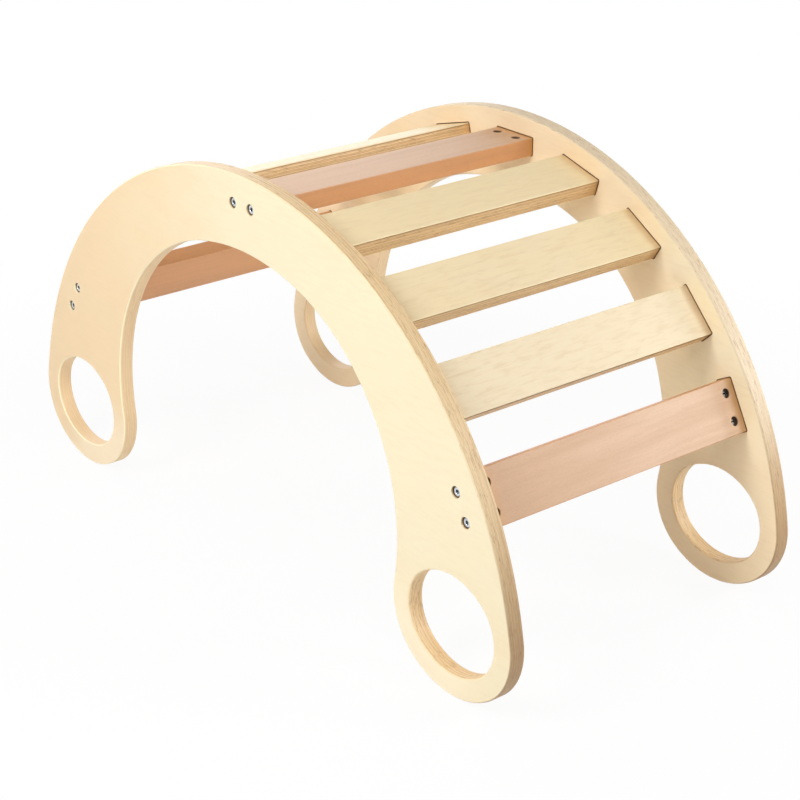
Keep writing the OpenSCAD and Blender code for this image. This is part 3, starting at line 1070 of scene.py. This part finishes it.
def prism(sides, radius, low, high):
    mesh = bmesh.new()
    corners = circle_points(Vector((0, 0)), radius, sides)
    base = mesh.faces.new([mesh.verts.new((p.x, p.y, low)) for p in reversed(corners)])
    top = bmesh.ops.extrude_face_region(mesh, geom=[base])["geom"]
    raised = [v for v in top if isinstance(v, bmesh.types.BMVert)]
    bmesh.ops.translate(mesh, verts=raised, vec=(0, 0, high - low))
    bmesh.ops.recalc_face_normals(mesh, faces=mesh.faces)
    return mesh


def cut_from(solid, cutters):
    """A solid less the cutters, as plain mesh data."""
    piece = add_object("solid", as_mesh("solid", solid))
    tools = [add_object("cutter", as_mesh("cutter", cutter)) for cutter in cutters]
    for tool in tools:
        cut = piece.modifiers.new("Cut", "BOOLEAN")
        cut.operation, cut.solver, cut.object = "DIFFERENCE", "EXACT", tool
    made = evaluated_mesh(piece)
    for used in (piece, *tools):
        bpy.data.objects.remove(used)
    return made


# %% A bolt and a nut
head_radius, head_rounding = 5 * MM, 0.5 * MM
shank_radius, shank_length = 3 * MM, 35 * MM
socket_width, socket_depth, socket_mouth_radius = 4 * MM, 2.2 * MM, 2.7 * MM
nut_edge = 0.4 * MM
thread_radius = 3.1 * MM
slot_width, slot_depth = 1.6 * MM, 1.4 * MM


def bolt_mesh():
    """A bolt with its head's top at z = 0 and its shank down -Z."""
    rim = [(head_radius - inset, -depth) for inset, depth in quarter_round(head_rounding, 4)]
    end = -head_height - shank_length
    bolt = lathe([*rim, (head_radius, -head_height + 0.2 * MM),
                  (head_radius - 0.2 * MM, -head_height), (shank_radius, -head_height),
                  (shank_radius, end + head_rounding), (shank_radius - head_rounding, end)])
    to_corner = socket_width / math.cos(half_turn / 6) / 2
    socket = prism(6, to_corner, -socket_depth, MM)
    chamfer = lathe([(to_corner - 0.5 * MM, -0.5 * MM), (to_corner + 0.4 * MM, 0.4 * MM)])
    return cut_from(bolt, [socket, chamfer])


def nut_mesh():
    """A barrel nut with its axis along Z and its middle at the origin."""
    radius, half, beyond = nut_diameter / 2, nut_length / 2, 0.8 * nut_diameter
    nut = lathe([(radius - nut_edge, -half), (radius, -half + nut_edge),
                 (radius, half - nut_edge), (radius - nut_edge, half)])
    thread = lathe([(thread_radius, -beyond), (thread_radius, beyond)])
    sideways = Matrix.Rotation(half_turn / 2, 3, "X")
    bmesh.ops.rotate(thread, cent=(0, 0, 0), matrix=sideways, verts=thread.verts)
    slot = bmesh.new()
    bmesh.ops.create_cube(slot, size=1)
    bmesh.ops.scale(slot, vec=(slot_width, 1.4 * nut_diameter, 2 * slot_depth), verts=slot.verts)
    bmesh.ops.translate(slot, vec=(0, 0, half), verts=slot.verts)
    return cut_from(nut, [thread, slot])


# %% [markdown]
# Twelve bolts and twelve barrel nuts follow one rule as well: two beside each other, at both
# ends of a bar, at three bars. The tree takes one bolt, sets out the pair, turns a copy of the
# pair half round for the near end, and puts the four round the arch with the same group of
# nodes as the crossbars.

# %% The fastener tree
def fastener_tree():
    graph, source = new_tree("fasteners", "Spacing", "Below Face", "Y", "Tilt",
                             "Mouth Radius", "Mouth Height")
    x, y, z = graph.separate(graph.add("GeometryNodeInputPosition"))
    radius = source.other("Mouth Radius")
    marked = store(graph, source, "mouth", graph.vector(x / radius, y / radius,
                                                        source.other("Mouth Height") - z))
    laid = graph.add("GeometryNodeTransform", {}, {
        "Geometry": marked, "Rotation": graph.vector(source.other("Tilt"), 0, 0)})
    across = (graph.add("GeometryNodeInputIndex") - 0.5) * source.other("Spacing")
    pair = graph.add("GeometryNodePoints", {}, {
        "Count": 2, "Position": graph.vector(across, source.other("Y"),
                                             source.other("Below Face") * -1)})
    far_pair = graph.add("GeometryNodeInstanceOnPoints", {}, {"Points": pair, "Instance": laid})
    near_pair = graph.add("GeometryNodeTransform", {}, {
        "Geometry": far_pair, "Rotation": (0, 0, half_turn)})
    four = graph.add("GeometryNodeJoinGeometry")
    for ends in (far_pair, near_pair):
        graph.tree.links.new(ends.socket, four.socket.node.inputs[0])
    return round_the_arch(graph, source, four)


all_fasteners = fastener_tree()
fastener_sizes = {"Spacing": bolt_spacing, "Below Face": beech_thickness / 2, "Material": zinc,
                  **beech_places, **arch_sizes}
bolt_sizes = {**fastener_sizes, "Y": outer_face - head_recess, "Tilt": -half_turn / 2,
              "Mouth Radius": socket_mouth_radius, "Mouth Height": 0.0}
nut_sizes = {**fastener_sizes, "Y": inner_face - nut_setback, "Tilt": 0.0,
             "Mouth Radius": nut_diameter / 2 - nut_edge, "Mouth Height": nut_length / 2}
bolts = run_tree("bolts", all_fasteners, bolt_sizes, bolt_mesh())
barrel_nuts = run_tree("barrel_nuts", all_fasteners, nut_sizes, nut_mesh())

# %% [markdown]
# ## What stands for what
# Every new mesh takes the place of the CAD nodes it shows, and rides on the one body that the arch
# has.

# %% Tie the pieces to the frame
for panel, node in ((far_panel, "far_side_panel"), (near_panel, "near_side_panel")):
    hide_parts(node)
for slats, hand in ((left_slats, "left"), (right_slats, "right")):
    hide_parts(*[f"slat_{hand}_{height}" for height in ("upper", "middle", "lower")])
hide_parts(*[f"{bar}_beech_bar" for bar in ("top", "left", "right")])
for piece, kind in ((bolts, "bolts"), (barrel_nuts, "barrel_nuts")):
    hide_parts(*[f"{kind}_{bar}_{end}" for bar in ("top", "left", "right")
                         for end in ("near", "far")])
pieces = (far_panel, near_panel, left_slats, right_slats, beech_bars, bolts, barrel_nuts)
for piece in pieces:
    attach(piece, "root")
print("pieces:", [piece.name for piece in pieces])

# %% [markdown]
# ## Floor, light and camera
# The arch stands on a plain white floor in soft light. The floor and the world are white to
# the camera alone, through Is Camera Ray, so the background is white while the arch is lit by
# no more light than it needs. Glossy rays see that white too, so that metal reflects it.

# %% The floor
SHADOW_VEIL = 0.93
SHADOW_REACH = 0.45, 1.0
FLOOR_ALBEDO = 0.88
FLOOR_SIZE = 12


def seen_by_eye(graph):
    """1 for the camera and for what it sees in a mirror or through glass."""
    rays = graph.add("ShaderNodeLightPath", {}, {}, "Is Camera Ray")
    return rays.or_more(rays.other("Is Glossy Ray")).or_more(rays.other("Is Transmission Ray"))


def mixed(graph, factor, one, two):
    return graph.add("ShaderNodeMixShader", {}, {"Fac": factor, 1: one, 2: two}, "Shader")


def floor_piece():
    mesh = bmesh.new()
    bmesh.ops.create_grid(mesh, x_segments=1, y_segments=1, size=FLOOR_SIZE)
    floor = add_object("floor", as_mesh("floor", mesh))
    material, graph = new_material("white floor")
    grey = (FLOOR_ALBEDO, FLOOR_ALBEDO, FLOOR_ALBEDO, 1)
    diffuse = graph.add("ShaderNodeBsdfDiffuse", {}, {"Color": grey}, "BSDF")
    white = graph.add("ShaderNodeEmission", {}, {"Strength": 1.0}, "Emission")
    x, y, _ = graph.separate(graph.add("ShaderNodeTexCoord", {}, {}, "Object"))
    veiled = graph.smooth(distance(x, y), *SHADOW_REACH, SHADOW_VEIL, 1.0)
    veil = mixed(graph, veiled, diffuse, white)
    surface = mixed(graph, seen_by_eye(graph), diffuse, veil)
    graph.add("ShaderNodeOutputMaterial", {}, {"Surface": surface})
    floor.data.materials.append(material)
    return floor


floor = floor_piece()

# %% [markdown]
# A studio picture of pale wood is lit from all round by large soft lamps, so that no shadow is
# hard and each face has a tone of its own. These are square lamps whose power and places were
# set by comparing the faces of the render with the photograph's.

# %% World and lamps
def studio_world():
    """A world that looks white and gives no light."""
    world = bpy.data.worlds.new("studio")
    graph = shader_graph(world)
    unlit, white = (graph.add("ShaderNodeBackground", {}, {
        "Color": (1, 1, 1, 1), "Strength": strength}, "Background") for strength in (0.0, 1.0))
    surface = mixed(graph, seen_by_eye(graph), unlit, white)
    graph.add("ShaderNodeOutputWorld", {}, {"Surface": surface})
    bpy.context.scene.world = world


def softbox(name, place, size, power):
    """A square lamp at a place, turned to the middle of the arch."""
    lamp = bpy.data.lights.new(name, "AREA")
    lamp.shape, lamp.size, lamp.energy = "SQUARE", size, power
    holder = add_object(name, lamp)
    target = Vector((0, 0, arch_height / 2))
    holder.location = place
    holder.rotation_euler = (Vector(place) - target).to_track_quat("Z", "Y").to_euler()


studio_world()
softbox("front fill", (0.05, -1.69, 1.63), 0.9, 24.6)
softbox("low key", (0.3, -1.1, 0.3), 0.5, 2.2)
softbox("high right", (1.2, -0.7, 1.9), 0.9, 11.0)
softbox("right of the slats", (1.3, 0.7, 0.9), 0.5, 8.2)
softbox("behind the right foot", (0.8, 1.15, 0.5), 0.5, 5.6)
softbox("left fill", (-1.84, -1.06, 0.6), 0.9, 7.0)
softbox("left rear fill", (-1.84, 1.06, 0.79), 0.9, 6.8)
softbox("high left", (-1.69, 0.0, 1.63), 0.9, 10.0)

# %% [markdown]
# The camera looks from the photograph's side: from the right front, a good head above the
# arch. The angles, the distance and the lens were found by matching the outline of the arch.

# %% The camera
AZIMUTH, ELEVATION, ROLL = (math.radians(a) for a in (50.244, 24.121, 0.673))
AIM = Vector((0.02982, -0.00923, 0.15469))
DISTANCE = 2.185756
SENSOR, LENS = 36, 89.466


def studio_camera():
    back = Vector((math.sin(AZIMUTH) * math.cos(ELEVATION),
                   -math.cos(AZIMUTH) * math.cos(ELEVATION), math.sin(ELEVATION)))
    level = back.cross(Vector((0, 0, -1))).normalized()
    upright = level.cross(-back)
    right = math.cos(ROLL) * level + math.sin(ROLL) * upright
    up = math.cos(ROLL) * upright - math.sin(ROLL) * level
    lens = bpy.data.cameras.new("camera")
    lens.lens, lens.sensor_width = LENS, SENSOR
    camera = add_object("camera", lens)
    turned = Matrix((right, up, back)).transposed().to_4x4()
    camera.matrix_world = Matrix.Translation(AIM + DISTANCE * back) @ turned
    bpy.context.scene.camera = camera
    print("camera at", tuple(round(c, 3) for c in camera.location))


studio_camera()
bpy.context.scene.view_settings.view_transform = "Standard"
